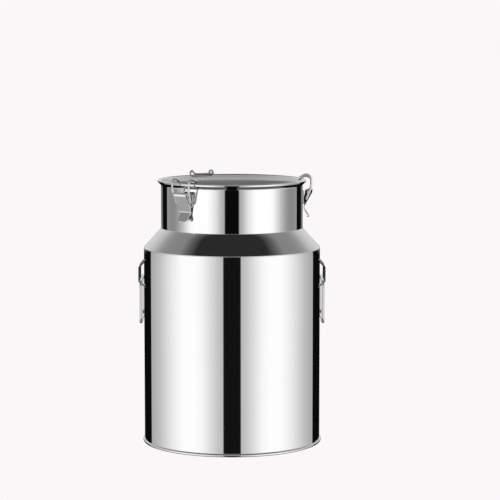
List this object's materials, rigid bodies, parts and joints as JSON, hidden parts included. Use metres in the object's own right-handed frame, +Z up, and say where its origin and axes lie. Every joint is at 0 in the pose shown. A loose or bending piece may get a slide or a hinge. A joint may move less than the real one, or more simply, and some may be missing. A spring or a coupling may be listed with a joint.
{
  "type": "milk can",
  "caption": "Open cylindrical stainless-steel milk can with a narrower neck, a rolled rim, wire toggle latches for a lid and drop-ring carrying handles.",
  "frame": {"origin": "centre of the can's foot, on the surface that it stands on", "axes": "+Z up along the can's axis, -Y towards the front, handles on -X and +X"},
  "size_m": [0.2642, 0.2542, 0.3813],
  "materials": {
    "polished_steel": "mirror-polished stainless steel sheet",
    "inner_steel": "satin stainless steel sheet",
    "pressed_steel": "bright pressed stainless steel",
    "steel_wire": "bright drawn stainless steel wire"
  },
  "bodies": {
    "can": {"foot_ring": "polished_steel", "bottom_plate": "inner_steel", "barrel": "polished_steel", "shoulder": "polished_steel", "neck": "polished_steel", "latch_bracket_front": "pressed_steel", "latch_bracket_right": "pressed_steel", "latch_bracket_rear": "pressed_steel", "latch_rivet_front": "pressed_steel", "latch_rivet_right": "pressed_steel", "latch_rivet_rear": "pressed_steel", "handle_bracket_left": "pressed_steel", "handle_bracket_right": "pressed_steel"},
    "lever_front": {"latch_lever_front": "pressed_steel"},
    "lever_right": {"latch_lever_right": "pressed_steel"},
    "lever_rear": {"latch_lever_rear": "pressed_steel"},
    "bail_front": {"latch_bail_front": "steel_wire"},
    "bail_right": {"latch_bail_right": "steel_wire"},
    "bail_rear": {"latch_bail_rear": "steel_wire"},
    "ring_left": {"handle_ring_left": "steel_wire"},
    "ring_right": {"handle_ring_right": "steel_wire"}
  },
  "joints": [
    {"name": "lever_front_hinge", "type": "hinge", "parent": "can", "child": "lever_front", "pos_m": [-0.06841, -0.08448, 0.3566], "axis": [-0.7771, 0.6293, 0], "range_deg": [0, 120]},
    {"name": "bail_front_hinge", "type": "hinge", "parent": "lever_front", "child": "bail_front", "pos_m": [-0.06633, -0.08191, 0.3466], "axis": [-0.7771, 0.6293, 0], "range_deg": [-181, 1]},
    {"name": "lever_right_hinge", "type": "hinge", "parent": "can", "child": "lever_right", "pos_m": [0.10863, -0.00379, 0.3566], "axis": [-0.0349, -0.9994, 0], "range_deg": [0, 120]},
    {"name": "bail_right_hinge", "type": "hinge", "parent": "lever_right", "child": "bail_right", "pos_m": [0.10534, -0.00368, 0.3466], "axis": [-0.0349, -0.9994, 0], "range_deg": [-181, 1]},
    {"name": "lever_rear_hinge", "type": "hinge", "parent": "can", "child": "lever_rear", "pos_m": [-0.04594, 0.09852, 0.3566], "axis": [0.9063, 0.4226, 0], "range_deg": [0, 120]},
    {"name": "bail_rear_hinge", "type": "hinge", "parent": "lever_rear", "child": "bail_rear", "pos_m": [-0.04454, 0.09552, 0.3466], "axis": [0.9063, 0.4226, 0], "range_deg": [-181, 1]},
    {"name": "ring_left_hinge", "type": "hinge", "parent": "can", "child": "ring_left", "pos_m": [-0.128, 0, 0.2329], "axis": [0, 1, 0], "range_deg": [0, 170]},
    {"name": "ring_right_hinge", "type": "hinge", "parent": "can", "child": "ring_right", "pos_m": [0.128, 0, 0.2329], "axis": [0, -1, 0], "range_deg": [0, 170]}
  ],
  "couplings": [
    {"joint": "bail_front_hinge", "follows": "lever_front_hinge", "ratio": -1.5},
    {"joint": "bail_right_hinge", "follows": "lever_right_hinge", "ratio": -1.5},
    {"joint": "bail_rear_hinge", "follows": "lever_rear_hinge", "ratio": -1.5}
  ]
}
